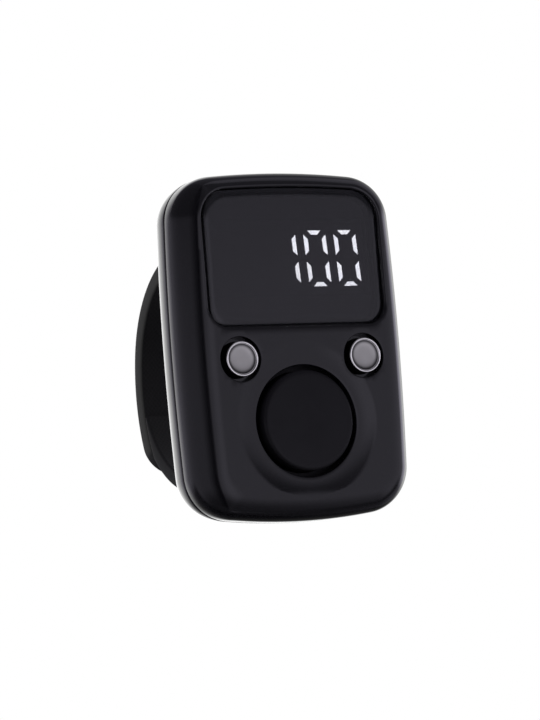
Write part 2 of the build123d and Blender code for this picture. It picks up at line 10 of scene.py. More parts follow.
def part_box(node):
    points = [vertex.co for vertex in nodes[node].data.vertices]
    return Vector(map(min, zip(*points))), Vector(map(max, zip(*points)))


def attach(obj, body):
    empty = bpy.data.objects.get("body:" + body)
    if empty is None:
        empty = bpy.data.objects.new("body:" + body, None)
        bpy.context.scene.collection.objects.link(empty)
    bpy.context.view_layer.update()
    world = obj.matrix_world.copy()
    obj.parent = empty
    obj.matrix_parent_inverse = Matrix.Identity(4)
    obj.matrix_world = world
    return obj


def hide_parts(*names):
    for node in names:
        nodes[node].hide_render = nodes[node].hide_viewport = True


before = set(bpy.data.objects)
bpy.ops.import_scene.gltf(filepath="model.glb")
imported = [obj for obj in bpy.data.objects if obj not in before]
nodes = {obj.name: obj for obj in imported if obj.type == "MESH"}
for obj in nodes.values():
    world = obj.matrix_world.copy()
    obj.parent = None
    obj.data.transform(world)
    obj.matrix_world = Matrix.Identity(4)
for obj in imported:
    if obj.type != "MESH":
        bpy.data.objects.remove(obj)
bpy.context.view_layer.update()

# Where the counter stands: pieces are drawn in millimetres lying on their backs, x across, y up the case from
# its middle and z out of the face, and laid() stands them up in metres where the solids are.
MM = 0.001
SHELL_LOW, SHELL_HIGH = (np.array(corner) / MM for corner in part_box("front_shell"))
FACE_AT = SHELL_LOW[1]
MIDDLE_AT = (SHELL_LOW[2] + SHELL_HIGH[2]) / 2


def laid(x, y, z):
    """Row-frame points in metres: (x, face - z, middle + y)."""
    x, y, z = np.broadcast_arrays(x, y, z)
    return np.stack([x, FACE_AT - z, MIDDLE_AT + y], axis=-1) * MM


# Camera: a long lens a little below the case and to its left, rolled so that the case leans as it does in the
# photograph. Eye, aim and lens come from fitting the outline of the case.
YAW, PITCH, ROLL = radians(28.0), radians(-5.294), radians(4.537)
DISTANCE, AIM_DEPTH = 345.1, 4.87
FOCAL_PX, LONG_SIDE_PX, SENSOR = 9.175 * 345.1, 720, 36.0
FRAME_CENTRE, PHOTO_CENTRE = (270.0, 360.0), (281.09, 348.54)
ahead = Vector((sin(YAW) * cos(PITCH), cos(YAW) * cos(PITCH), -sin(PITCH)))
level_right = Vector((cos(YAW), -sin(YAW), 0))
level_up = level_right.cross(ahead)
camera_right = cos(ROLL) * level_right - sin(ROLL) * level_up
camera_up = sin(ROLL) * level_right + cos(ROLL) * level_up
aim = Vector(laid(0, 0, -AIM_DEPTH).tolist())
camera = bpy.data.objects.new("camera", bpy.data.cameras.new("camera"))
bpy.context.scene.collection.objects.link(camera)
axes = Matrix((camera_right, camera_up, -ahead)).transposed().to_4x4()
camera.matrix_world = Matrix.Translation(aim - ahead * DISTANCE * MM) @ axes
camera.data.sensor_fit = "VERTICAL"
camera.data.sensor_height = SENSOR
camera.data.lens = FOCAL_PX * SENSOR / LONG_SIDE_PX
camera.data.shift_x = (FRAME_CENTRE[0] - PHOTO_CENTRE[0]) / LONG_SIDE_PX
camera.data.shift_y = (PHOTO_CENTRE[1] - FRAME_CENTRE[1]) / LONG_SIDE_PX
camera.data.clip_start = 0.01
bpy.context.scene.camera = camera
bpy.context.scene.view_settings.view_transform = "Standard"


# Studio: a pale floor that can be seen through from underneath, a bright backdrop behind the counter, a grey
# room that is dark round the camera and dims overhead and low down, and two soft boxes that only light matte things.
class Wire:
    """An output in a node tree; arithmetic on it adds the Math nodes that work it out."""

    def __init__(self, mixer, socket):
        self.mixer, self.socket = mixer, socket

    def math(self, operation, *values):
        inputs = {index: value for index, value in enumerate((self,) + values)}
        return self.mixer.node("ShaderNodeMath", {"operation": operation}, inputs)

    def __add__(self, other):
        return self.math("ADD", other)

    def __sub__(self, other):
        return self.math("SUBTRACT", other)

    def __rsub__(self, other):
        return (self * -1) + other

    def __mul__(self, other):
        return self.math("MULTIPLY", other)

    __radd__, __rmul__ = __add__, __mul__

    def step(self, low, high):
        """0 below low, 1 above high and an S-curve between them."""
        settings = {"interpolation_type": "SMOOTHSTEP", "clamp": True}
        return self.mixer.node("ShaderNodeMapRange", settings, {"Value": self, "From Min": low, "From Max": high})


class Mixer:
    """A node tree in the making: node() adds any node with its settings, then the values or wires of its sockets."""

    def __init__(self, tree):
        self.tree = tree

    def feed(self, socket, value):
        if isinstance(value, Wire):
            self.tree.links.new(value.socket, socket)
        else:
            socket.default_value = value

    def node(self, kind, settings=None, inputs=None, output=0):
        made = self.tree.nodes.new(kind)
        for name, value in (settings or {}).items():
            setattr(made, name, value)
        for name, value in (inputs or {}).items():
            self.feed(made.inputs[name], value)
        return Wire(self, made.outputs[output])

    def part(self, vector, axis):
        """One coordinate of a vector."""
        return self.node("ShaderNodeSeparateXYZ", {}, {0: vector}, axis)

    def blend(self, share, first, second):
        """A colour that goes from first to second as share goes from 0 to 1."""
        inputs = {"Factor": share, 6: first, 7: second}
        return self.node("ShaderNodeMix", {"data_type": "RGBA"}, inputs, 2)


class Finish(Mixer):
    """A material on one Principled shader, with its plain values set on the shader's own sockets."""

    def __init__(self, name, values):
        self.material = bpy.data.materials.new(name)
        self.material.use_nodes = True
        super().__init__(self.material.node_tree)
        self.shader = self.tree.nodes["Principled BSDF"]
        self.set(values)

    def set(self, values):
        for name, value in values.items():
            self.feed(self.shader.inputs[name], value)

    def place(self):
        """The point being shaded, in metres."""
        return self.node("ShaderNodeTexCoord", {}, {}, "Object")

    def grain(self, size, detail=2.0):
        """Noise from 0 to 1 whose patches are about size millimetres across."""
        inputs = {"Vector": self.place(), "Scale": 1 / (size * MM), "Detail": detail}
        return self.node("ShaderNodeTexNoise", {}, inputs)

    def relief(self, height, depth, strength=1.0):
        """Bumps depth millimetres deep where height goes from 0 to 1, into the shader's normal."""
        inputs = {"Height": height, "Distance": depth * MM, "Strength": strength}
        self.set({"Normal": self.node("ShaderNodeBump", {}, inputs)})

    def on(self, *objects):
        for thing in objects:
            thing.data.materials.clear()
            thing.data.materials.append(self.material)


BACKDROP, ROOM, FAR_LEFT, NEAR_RIGHT, STRIP = 1.6, 0.64, 0.42, 0.3, 1.3
world = bpy.data.worlds.new("studio")
bpy.context.scene.world = world
world.use_nodes = True
studio = Mixer(world.node_tree)
facing = studio.node("ShaderNodeTexCoord", {}, {}, "Generated")
straight_back = (ahead.x, ahead.y, 0.0)
along = studio.node("ShaderNodeVectorMath", {"operation": "DOT_PRODUCT"}, {0: facing, 1: straight_back}, "Value")
turn = (studio.part(facing, "X") * -1).math("ARCTAN2", studio.part(facing, "Y") * -1)
upward = studio.part(facing, "Z")
level = ROOM - turn.step(radians(17), radians(25)) * ROOM + turn.step(radians(27), radians(64)) * FAR_LEFT
level = level + turn.step(radians(-27), radians(-10)) * NEAR_RIGHT * (1 - turn.step(radians(-4), radians(16)))
level = level + (1 - turn.step(radians(-94), radians(-84))) * turn.step(radians(-128), radians(-118)) * STRIP
downward = upward * -1
level = level * (1 - upward.step(0.06, 0.34) * 0.8) * (1 - downward.step(0.4, 0.95) * 0.8)
level = level * (1 - downward.step(0.1, 0.4) * along.step(0.0, 0.3) * 0.85)
matte_ray = studio.node("ShaderNodeLightPath", {}, {}, "Is Diffuse Ray")
far_right = turn.step(radians(-158), radians(-146)) * (1 - turn.step(radians(-100), radians(-90)))
backdrop = along.step(0.60, 0.82) * (1 - far_right * 0.75) * (1 - downward.step(0.1, 0.45))
level = level + backdrop * (BACKDROP - FAR_LEFT) * (1 - matte_ray * 0.75)
seen = studio.node("ShaderNodeLightPath", {}, {}, "Is Camera Ray")
through = studio.node("ShaderNodeLightPath", {}, {}, "Is Transmission Ray")
plain = seen.math("MAXIMUM", through)
level = level * (1 - plain) + plain
tint = studio.blend(plain.math("MAXIMUM", along.step(0.6, 0.8)), (0.985, 0.95, 1.13, 1), (1, 1, 1, 1))
studio.feed(world.node_tree.nodes["Background"].inputs["Strength"], level)
studio.feed(world.node_tree.nodes["Background"].inputs["Color"], tint)

FLOOR_SIZE = 3.0
floor_mesh = bpy.data.meshes.new("floor")
half = FLOOR_SIZE / 2
floor_corners = [(-half, -half, 0), (half, -half, 0), (half, half, 0), (-half, half, 0)]
floor_mesh.from_pydata(floor_corners, [], [(0, 1, 2, 3)])
floor = bpy.data.objects.new("floor", floor_mesh)
bpy.context.scene.collection.objects.link(floor)
floor.visible_glossy = False
pale = Finish("pale_floor", {"Base Color": (0.8, 0.8, 0.8, 1), "Roughness": 0.9, "Specular IOR Level": 0.0})
under = pale.node("ShaderNodeNewGeometry", {}, {}, "Backfacing")
clear = pale.node("ShaderNodeBsdfTransparent")
top_side = Wire(pale, pale.shader.outputs[0])
both = pale.node("ShaderNodeMixShader", {}, {0: under, 1: top_side, 2: clear})
pale.feed(pale.tree.nodes["Material Output"].inputs["Surface"], both)
pale.on(floor)


def soft_box(name, place, target, size, power):
    """A square lamp of side size metres at place, turned to target."""
    lamp = bpy.data.objects.new(name, bpy.data.lights.new(name, "AREA"))
    lamp.data.size = size
    lamp.data.energy = power
    lamp.location = place
    lamp.visible_glossy = False
    lamp.rotation_euler = (Vector(target) - Vector(place)).to_track_quat("-Z", "Y").to_euler()
    bpy.context.scene.collection.objects.link(lamp)


soft_box("key", (-0.35, -0.15, 0.45), (0, 0, 0.02), 0.25, 2.2)
soft_box("fill", (0.45, -0.35, 0.30), (0, 0, 0.02), 0.30, 1.2)


# Shells are moulded in glossy black plastic: deep, slightly violet black, a faint orange-peel from the tool and
# soft smudges that dull the gloss a little.
gloss = Finish("black_gloss", {"Base Color": (0.004, 0.0038, 0.005, 1), "Specular IOR Level": 0.42})
smudge = gloss.grain(9.0, 3.0).step(0.35, 0.75)
gloss.set({"Roughness": 0.09 + smudge * 0.07})
gloss.relief(gloss.grain(0.9, 1.0), 0.006, 0.35)


# Inside the case: circuit board, chips, switches, cell, leads, socket, reflector, screws and pins. They keep their
# solids, and each gets the finish of what it is made of.
def inner_finish(name, colour, roughness, metallic, patch, spread, *names):
    """A finish whose colour wanders by spread over patches of a given size."""
    finish = Finish(name, {"Roughness": roughness, "Metallic": metallic})
    dark = tuple(c * (1 - spread) for c in colour) + (1,)
    light = tuple(min(1, c * (1 + spread)) for c in colour) + (1,)
    finish.set({"Base Color": finish.blend(finish.grain(patch), dark, light)})
    finish.relief(finish.grain(patch / 6), 0.01, 0.3)
    finish.on(*(nodes[n] for n in names))


inner_finish("solder_mask", (0.02, 0.12, 0.05), 0.35, 0.0, 3.0, 0.25, "main_board")
inner_finish("chip_black", (0.025, 0.025, 0.027), 0.5, 0.0, 1.0, 0.2, "controller_chip", "resistors")
inner_finish("foam_black", (0.03, 0.03, 0.03), 0.9, 0.0, 0.6, 0.3, "battery_foam", "lens_tape")
inner_finish("pouch_foil", (0.62, 0.63, 0.66), 0.32, 0.9, 2.0, 0.08, "battery_cell")
inner_finish("red_sleeve", (0.45, 0.02, 0.02), 0.45, 0.0, 1.0, 0.1, "battery_lead_positive")
inner_finish("black_sleeve", (0.02, 0.02, 0.02), 0.45, 0.0, 1.0, 0.1, "battery_lead_negative")
inner_finish("switch_steel", (0.55, 0.55, 0.56), 0.35, 1.0, 0.8, 0.1,
             "count_switch_body", "left_switch_body", "right_switch_body")
inner_finish("plunger_black", (0.03, 0.03, 0.03), 0.5, 0.0, 0.8, 0.15,
             "count_switch_stem", "left_switch_stem", "right_switch_stem")
inner_finish("steel", (0.52, 0.52, 0.54), 0.28, 1.0, 0.7, 0.12,
             "case_screws", "upper_strap_pin", "lower_strap_pin", "socket_shell")
inner_finish("insulator_black", (0.02, 0.02, 0.022), 0.45, 0.0, 0.8, 0.2, "socket_tongue")
inner_finish("reflector_black", (0.018, 0.018, 0.02), 0.6, 0.0, 0.5, 0.2, "display_housing")
inner_finish("dark_bars", (0.05, 0.05, 0.052), 0.6, 0.0, 0.5, 0.1, "dark_segments")


# Front shell: one glossy moulding with a rounded front edge, a window pocket, a shallow dish round the count
# button and two recesses for the small buttons. Rims and the parting line have the small radius of a moulding.
class Skin:
    """The surfaces of one piece, sewn together where their edges meet."""

    def __init__(self):
        self.points, self.faces, self.marks, self.count = [], [], [], 0

    def add(self, points, faces, marks=None):
        points = points.reshape(-1, 3)
        self.points.append(points)
        self.faces += (np.asarray(faces) + self.count).tolist()
        self.marks.append(np.zeros((len(points), 2)) if marks is None else marks.reshape(-1, 2))
        self.count += len(points)

    def bands(self, rings, marks=None):
        """Quads between one closed ring of points and the next."""
        rings = np.asarray(rings)
        rows, around = rings.shape[:2]
        here = np.arange((rows - 1) * around).reshape(rows - 1, around)
        ahead_of = np.roll(here, -1, axis=1)
        quads = np.stack([here, ahead_of, ahead_of + around, here + around], axis=-1)
        self.add(rings, quads.reshape(-1, 4), marks)

    def finished(self, name, body, sharp=35.0):
        """The piece as an object riding on a body, smooth but for edges sharper than an angle in degrees."""
        mesh = bpy.data.meshes.new(name)
        mesh.from_pydata(np.concatenate(self.points).tolist(), [], self.faces)
        uv = mesh.uv_layers.new(name="lay")
        corner_vertex = np.empty(len(mesh.loops), dtype=np.int32)
        mesh.loops.foreach_get("vertex_index", corner_vertex)
        uv.data.foreach_set("uv", np.concatenate(self.marks)[corner_vertex].astype(np.float32).ravel())
        sewing = bmesh.new()
        sewing.from_mesh(mesh)
        bmesh.ops.remove_doubles(sewing, verts=sewing.verts, dist=2e-7)
        bmesh.ops.dissolve_degenerate(sewing, dist=1e-8, edges=sewing.edges)
        bmesh.ops.recalc_face_normals(sewing, faces=sewing.faces)
        sewing.to_mesh(mesh)
        sewing.free()
        mesh.shade_smooth()
        mesh.set_sharp_from_angle(angle=radians(sharp))
        piece = bpy.data.objects.new(name, mesh)
        bpy.context.scene.collection.objects.link(piece)
        even = piece.modifiers.new("even_shading", "WEIGHTED_NORMAL")
        even.keep_sharp = True
        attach(piece, body)
        return piece


def circle_loop(x, y, radius, count):
    """Points and outward normals round a circle."""
    turn = np.linspace(0, 2 * pi, count, endpoint=False)
    outward = np.stack([np.cos(turn), np.sin(turn)], axis=1)
    return np.array([x, y]) + radius * outward, outward


def arc_centre(a, b, c):
    """Centre of the circle through three points."""
    a, b, c = (np.array(p, dtype=float) for p in (a, b, c))
    rows = np.stack([b - a, c - a])
    return np.linalg.solve(2 * rows, np.array([b @ b - a @ a, c @ c - a @ a]))


def bowed_loop(half_width, top, bottom, bows, corners, spacing):
    """Points and outward normals round a four-sided outline, anticlockwise from the middle of its foot.

    Sides swell by their bows as arcs of radius R; a corner of radius r is centred where circles of radius R - r
    about the centres of its two sides cross.
    """
    side_bow, top_bow, bottom_bow = (max(bow, 1e-4) for bow in bows)
    x, high, low = half_width - side_bow, top - top_bow, bottom + bottom_bow
    right = arc_centre((x, low), (half_width, (top + bottom) / 2), (x, high))
    foot = arc_centre((-x, low), (0, bottom), (x, low))
    head = arc_centre((-x, high), (0, top), (x, high))
    reach_right, reach_foot, reach_head = hypot(*(right - (x, low))), foot[1] - bottom, top - head[1]

    def corner_centre(other, other_reach, radius):
        first, second = reach_right - radius, other_reach - radius
        apart = hypot(*(other - right))
        unit = (other - right) / apart
        along_line = (first**2 - second**2 + apart**2) / (2 * apart)
        off_line = sqrt(first**2 - along_line**2) * np.array([unit[1], -unit[0]])
        return max(right + along_line * unit + off_line, right + along_line * unit - off_line, key=lambda p: p[0])

    top_corner, bottom_corner = corners
    upper = corner_centre(head, reach_head, top_corner)
    lower = corner_centre(foot, reach_foot, bottom_corner)
    turns = [
        -pi / 2,
        atan2(*(lower - foot)[::-1]),
        atan2(*(lower - right)[::-1]),
        atan2(*(upper - right)[::-1]),
        atan2(*(upper - head)[::-1]),
        pi / 2,
    ]
    centres = [foot, lower, right, upper, head]
    radii = [reach_foot, bottom_corner, reach_right, top_corner, reach_head]
    points, normals = [], []
    for centre, radius, start, end in zip(centres, radii, turns, turns[1:]):
        steps = max(3, int(radius * (end - start) / spacing))
        turn = np.linspace(start, end, steps, endpoint=False)
        outward = np.stack([np.cos(turn), np.sin(turn)], axis=1)
        points.append(centre + radius * outward)
        normals.append(outward)
    half_points, half_normals = np.concatenate(points), np.concatenate(normals)
    crown, crown_normal = np.array([[0, top]]), np.array([[0, 1.0]])
    flip = np.array([-1, 1])
    points = np.concatenate([half_points, crown, (half_points[1:] * flip)[::-1]])
    normals = np.concatenate([half_normals, crown_normal, (half_normals[1:] * flip)[::-1]])
    return points, normals


def inset_of(points, loop):
    """How far points lie inside a loop, measured along the normal of the nearest point on it."""
    edge, normal = loop
    apart = points[:, None, :] - edge[None, :, :]
    nearest = np.argmin((apart**2).sum(-1), axis=1)
    return ((edge[nearest] - points) * normal[nearest]).sum(-1)


SLIVER = 1e-5


def plate(boundary, holes, inner):
    """Flat triangles, none of them slivers, that fill a boundary but for its holes and pass through inner points."""
    loops = [boundary] + holes
    sizes = [len(loop) for loop in loops]
    starts = np.cumsum([0] + sizes[:-1])
    edges = [(start + k, start + (k + 1) % size) for start, size in zip(starts, sizes) for k in range(size)]
    points = np.concatenate(loops + [inner])
    flat = [Vector(p) for p in points.tolist()]
    made, _, triangles, *_ = delaunay_2d_cdt(flat, edges, [], 0, 1e-5)
    made, triangles = np.array(made), np.array([t for t in triangles if len(t) == 3])
    middle = made[triangles].mean(axis=1)
    first, second = (made[triangles[:, k]] - made[triangles[:, 0]] for k in (1, 2))
    area = np.abs(first[:, 0] * second[:, 1] - first[:, 1] * second[:, 0]) / 2
    keep = inside(middle, boundary) & (area > SLIVER)
    for hole in holes:
        keep &= ~inside(middle, hole)
    return made, triangles[keep]


def inside(points, loop):
    """Whether points lie in a closed loop, by counting the edges that a line to the right of each crosses."""
    a, b = loop, np.roll(loop, -1, axis=0)
    y = points[:, 1][:, None]
    spans = (a[:, 1] > y) != (b[:, 1] > y)
    rise = np.where(b[:, 1] == a[:, 1], 1.0, b[:, 1] - a[:, 1])
    cross_x = a[:, 0] + (y - a[:, 1]) * (b[:, 0] - a[:, 0]) / rise
    return ((points[:, 0][:, None] < cross_x) & spans).sum(axis=1) % 2 == 1


CASE_HALF_WIDTH, CASE_HALF_HEIGHT = 13.4, 19.0
CASE_BOWS, CASE_CORNERS = (0.55, 0.85, 1.2), (5.0, 5.2)
FRONT_ROUND, SEAM_DEPTH, SEAM_ROUND = 3.2, 4.7, 0.14
SHELL_WALL, FACE_WALL, BAND_INSET = 1.2, 2.1, 1.4
WINDOW_HALF, WINDOW_TOP, WINDOW_FOOT = 10.75, 17.1, 1.95
WINDOW_BOWS, WINDOW_CORNERS, WINDOW_RIM = (0.0, 0.45, 0.0), (3.3, 2.3), 0.32
LEDGE_DEPTH, DISPLAY_HALF, DISPLAY_MIDDLE = 1.5, (9.775, 4.2), 9.525
COUNT_Y, COUNT_HOLE, COUNT_RIM, DISH_REACH, DISH_DEPTH = -8.35, 6.05, 0.15, 8.4, 0.3
SMALL_X, SMALL_Y, RECESS_RADIUS, RECESS_HOLE, RECESS_DEPTH, RECESS_RIM = 7.5, -1.5, 2.4, 2.02, 1.2, 0.12
case_edge = bowed_loop(CASE_HALF_WIDTH, CASE_HALF_HEIGHT, -CASE_HALF_HEIGHT, CASE_BOWS, CASE_CORNERS, 0.3)


def face_height(points):
    """Height of the moulded face: a quarter round in from the edge, less the dish's bowl, 1 - t*t."""
    short = np.clip(FRONT_ROUND - inset_of(points, case_edge), 0, FRONT_ROUND)
    reach = np.hypot(points[:, 0], points[:, 1] - COUNT_Y)
    t = np.clip((reach - COUNT_HOLE) / (DISH_REACH - COUNT_HOLE), 0, 1)
    return np.sqrt(FRONT_ROUND**2 - short**2) - FRONT_ROUND - DISH_DEPTH * (1 - t * t)


def ring_at(loop, grow, z):
    """A loop moved out by grow, at a height, standing in the row frame."""
    points = loop[0] + grow * loop[1]
    return laid(points[:, 0], points[:, 1], z)


def rolled_rim(loop, radius, steps=5):
    """Rings that roll from the face over a rim of a given radius into a hole's wall."""
    start = face_height(loop[0] + radius * loop[1])
    roll = np.linspace(0, pi / 2, steps)
    return [ring_at(loop, radius * (1 - sin(b)), start - radius * (1 - cos(b))) for b in roll]


front = Skin()
seam_roll = np.linspace(0, pi / 2, 4)
edge_roll = np.linspace(0, acos(1 - BAND_INSET / FRONT_ROUND), 12)
rim_foot = [
    ring_at(case_edge, -SEAM_ROUND * (1 - sin(b)), SEAM_ROUND * (1 - cos(b)) - SEAM_DEPTH) for b in seam_roll
]
rim_over = [ring_at(case_edge, -FRONT_ROUND * (1 - cos(b)), FRONT_ROUND * (sin(b) - 1)) for b in edge_roll[:-1]]
band_edge = case_edge[0] - BAND_INSET * case_edge[1]
rim_over.append(laid(band_edge[:, 0], band_edge[:, 1], face_height(band_edge)))
inner_wall = [ring_at(case_edge, -SHELL_WALL, z) for z in (-FACE_WALL, -SEAM_DEPTH)]
front.bands(inner_wall + rim_foot + rim_over)

window = bowed_loop(WINDOW_HALF, WINDOW_TOP, WINDOW_FOOT, WINDOW_BOWS, WINDOW_CORNERS, 0.25)
count_hole = circle_loop(0, COUNT_Y, COUNT_HOLE, 144)
recesses = [circle_loop(side * SMALL_X, SMALL_Y, RECESS_RADIUS, 72) for side in (-1, 1)]
rims = [(window, WINDOW_RIM), (count_hole, COUNT_RIM)] + [(recess, RECESS_RIM) for recess in recesses]
mouths = [loop[0] + rim * loop[1] for loop, rim in rims]
face_roll = np.linspace(edge_roll[-1], pi / 2, 9)[1:]
rings_in = [case_edge[0] - FRONT_ROUND * (1 - cos(b)) * case_edge[1] for b in face_roll]
dish_radii = np.linspace(COUNT_HOLE + COUNT_RIM, DISH_REACH, 9)[1:].tolist() + [DISH_REACH + 0.25, DISH_REACH + 0.6]
dish_rings = [circle_loop(0, COUNT_Y, radius, 120)[0] for radius in dish_radii]
lattice = np.stack(np.meshgrid(np.arange(-13, 13.1, 0.8), np.arange(-19, 19.1, 0.8)), axis=-1).reshape(-1, 2)
lattice = lattice[inset_of(lattice, case_edge) > FRONT_ROUND + 0.3]
lattice = lattice[np.hypot(lattice[:, 0], lattice[:, 1] - COUNT_Y) > DISH_REACH + 0.9]
inner = np.concatenate(rings_in + dish_rings + [lattice])
keep = inset_of(inner, case_edge) > BAND_INSET + 0.1
for loop, rim in rims:
    keep &= inset_of(inner, (loop[0] + rim * loop[1], loop[1])) < -0.12
face, triangles = plate(band_edge, mouths, inner[keep])
front.add(laid(face[:, 0], face[:, 1], face_height(face)), triangles)

opening = np.array([[-1, -1], [1, -1], [1, 1], [-1, 1]]) * DISPLAY_HALF + (0, DISPLAY_MIDDLE)
ledge, triangles = plate(window[0], [opening], np.empty((0, 2)))
front.bands(rolled_rim(window, WINDOW_RIM) + [ring_at(window, 0, -LEDGE_DEPTH)])
front.add(laid(ledge[:, 0], ledge[:, 1], -LEDGE_DEPTH), triangles)
front.bands([laid(opening[:, 0], opening[:, 1], z) for z in (-LEDGE_DEPTH, -FACE_WALL)])
front.bands(rolled_rim(count_hole, COUNT_RIM) + [ring_at(count_hole, 0, -FACE_WALL)])
throat = RECESS_HOLE - RECESS_RADIUS
for recess in recesses:
    well = [ring_at(recess, grow, -RECESS_DEPTH) for grow in (0, throat)]
    front.bands(rolled_rim(recess, RECESS_RIM) + well + [ring_at(recess, throat, -FACE_WALL)])
inner_edge = case_edge[0] - SHELL_WALL * case_edge[1]
holes = [opening, count_hole[0]] + [recess[0] + throat * recess[1] for recess in recesses]
back, triangles = plate(inner_edge, holes, np.empty((0, 2)))
front.add(laid(back[:, 0], back[:, 1], -FACE_WALL), triangles)
front_piece = front.finished("front_moulding", "case")
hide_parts("front_shell")
gloss.on(front_piece)


# Lit bars: the clear light guides of the digits that are on, glowing white. They stand just proud of the black
# reflector behind the lens, and the digits lean a little to the left.
DIGIT_WIDTH, DIGIT_HEIGHT, STROKE, MITRE, END_GAP, MIDDLE_GAP = 2.7, 6.12, 0.44, 0.48, 0.56, 0.4
DIGIT_PITCH, DIGITS_X, DIGITS_Y, LEAN = 3.75, 3.78, 9.46, 0.0555
BAR_FRONT, BAR_BACK = -1.9, -1.99
side, top = DIGIT_WIDTH / 2, DIGIT_HEIGHT / 2
inner_side, bar_end = side - STROKE, side - END_GAP
upright = np.array(
    [(side, top - MITRE), (inner_side, top - MITRE - STROKE), (inner_side, MIDDLE_GAP + STROKE), (side, MIDDLE_GAP)]
)
level_bar = np.array(
    [(-bar_end, top), (bar_end, top), (bar_end - STROKE, top - STROKE), (STROKE - bar_end, top - STROKE)]
)
one = [upright, upright * (1, -1)]
nought = one + [upright * (-1, 1), upright * (-1, -1), level_bar, level_bar * (1, -1)]
bars = Skin()
for place, digit in enumerate((one, nought, nought)):
    for corners in digit:
        x = DIGITS_X + (place - 1) * DIGIT_PITCH + corners[:, 0] - LEAN * corners[:, 1]
        ends = [laid(x, DIGITS_Y + corners[:, 1], z) for z in (BAR_FRONT, BAR_BACK)]
        bars.bands(ends)
        for end in ends:
            bars.add(end, [[0, 1, 2, 3]])
bars_piece = bars.finished("lit_bars", "case")
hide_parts("lit_segments")
lit = Finish("lit_bars", {"Base Color": (0.9, 0.9, 0.95, 1), "Roughness": 0.5, "Emission Strength": 12.0})
lit.set({"Emission Color": lit.blend(lit.grain(1.2).step(0.3, 0.8), (0.84, 0.84, 0.94, 1), (0.88, 0.88, 0.94, 1))})
lit.on(bars_piece)


# Display lens: a plate of smoked acrylic, polished, with a softened front edge. It lies a little below the face, held
# in the window pocket by a ring of tape.
LENS_GAP, LENS_FRONT, LENS_BACK, LENS_EDGE, LENS_BEVEL = 0.1, -0.35, -1.4, 0.25, 0.8
lens = Skin()
net = np.stack(np.meshgrid(np.arange(-10, 10.1, 1.0), np.arange(2, 17.1, 1.0)), axis=-1).reshape(-1, 2)
lens_slope = np.linspace(0, 1, 9)
lens_rings = [ring_at(window, -LENS_GAP - LENS_BEVEL * (1 - t), LENS_FRONT - LENS_EDGE * t * t) for t in lens_slope]
lens.bands(lens_rings + [ring_at(window, -LENS_GAP, LENS_BACK)])
for grow, z in ((-LENS_GAP - LENS_BEVEL, LENS_FRONT), (-LENS_GAP, LENS_BACK)):
    inner = np.concatenate([window[0] + (grow - more) * window[1] for more in (0.2, 0.6, 1.2)])
    inner = np.concatenate([inner, net[inset_of(net, window) > 2.0 - grow]])
    flat, triangles = plate(window[0] + grow * window[1], [], inner)
    lens.add(laid(flat[:, 0], flat[:, 1], z), triangles)
lens_piece = lens.finished("smoked_window", "case")
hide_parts("display_lens")
smoke = Finish("smoked_lens", {"Base Color": (0.006, 0.006, 0.008, 1), "Roughness": 0.05, "Specular IOR Level": 0.6})
smoke.set({"Alpha": 0.72 + smoke.grain(6.0).step(0.3, 0.8) * 0.03})
smoke.on(lens_piece)


# Count button: a matte black moulded cap, barely domed, that stands a little proud of its hole, with a keeper
# flange under the face and a post on its switch.
def turned(name, body, x, y, profile, around=144):
    """A piece turned about an axis out of the face at x, y; the profile is radius and height from top to foot.

    Its lay holds each point's radius and height in millimetres.
    """
    turn = np.linspace(0, 2 * pi, around, endpoint=False)
    radius, height = (profile[:, k][:, None] for k in (0, 1))
    rings = laid(x + radius * np.cos(turn), y + radius * np.sin(turn), height)
    marks = np.stack(np.broadcast_arrays(radius, height + 0 * turn), axis=-1)
    skin = Skin()
    skin.bands(rings, marks)
    return skin.finished(name, body)


def softened(corners, steps=6):
    """A line through corners (radius, height, rounding) with each corner rolled by an arc of that rounding."""
    line = []
    for k, (r, h, rounding) in enumerate(corners):
        here = np.array([r, h])
        if rounding == 0 or k in (0, len(corners) - 1):
            line.append(here)
            continue
        before, after = np.array(corners[k - 1][:2]) - here, np.array(corners[k + 1][:2]) - here
        before, after = before / np.linalg.norm(before), after / np.linalg.norm(after)
        half_angle = acos(np.clip(before @ after, -1, 1)) / 2
        bisector = (before + after) / np.linalg.norm(before + after)
        centre = here + bisector * rounding / sin(half_angle)
        start = here + before * rounding / tan(half_angle) - centre
        end = here + after * rounding / tan(half_angle) - centre
        span = pi - 2 * half_angle
        share = np.linspace(0, 1, steps)
        weights = np.sin((1 - share) * span) / sin(span), np.sin(share * span) / sin(span)
        line += list(centre + weights[0][:, None] * start + weights[1][:, None] * end)
    return np.array(line)


CAP_RADIUS, CAP_TOP, CAP_DOME, CAP_EDGE = 5.45, 0.5, 0.15, 0.5
COUNT_FLANGE, COUNT_HOLLOW, CAP_CEILING = 6.6, 4.35, -0.6
FLANGE_TOP, FLANGE_FOOT, STUD, STUD_FOOT, SMALL_ROUND = -2.15, -2.7, 1.2, -2.9, 0.05
dome = [(r, CAP_TOP - CAP_DOME * (r / CAP_RADIUS) ** 2, 0) for r in np.linspace(0, CAP_RADIUS - CAP_EDGE - 0.2, 9)]
count_line = dome + [
    (CAP_RADIUS, CAP_TOP - CAP_DOME, CAP_EDGE),
    (CAP_RADIUS, FLANGE_TOP, 0.1),
    (COUNT_FLANGE, FLANGE_TOP, SMALL_ROUND),
    (COUNT_FLANGE, FLANGE_FOOT, SMALL_ROUND),
    (COUNT_HOLLOW, FLANGE_FOOT, SMALL_ROUND),
    (COUNT_HOLLOW, CAP_CEILING, 0.3),
    (STUD, CAP_CEILING, 0.2),
    (STUD, STUD_FOOT, SMALL_ROUND),
    (0, STUD_FOOT, 0),
]
count_piece = turned("count_cap", "count_button_body", 0, COUNT_Y, softened(count_line))
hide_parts("count_button")
matte = Finish("count_matte", {"Base Color": (0.0045, 0.0042, 0.0056, 1), "Specular IOR Level": 0.2})
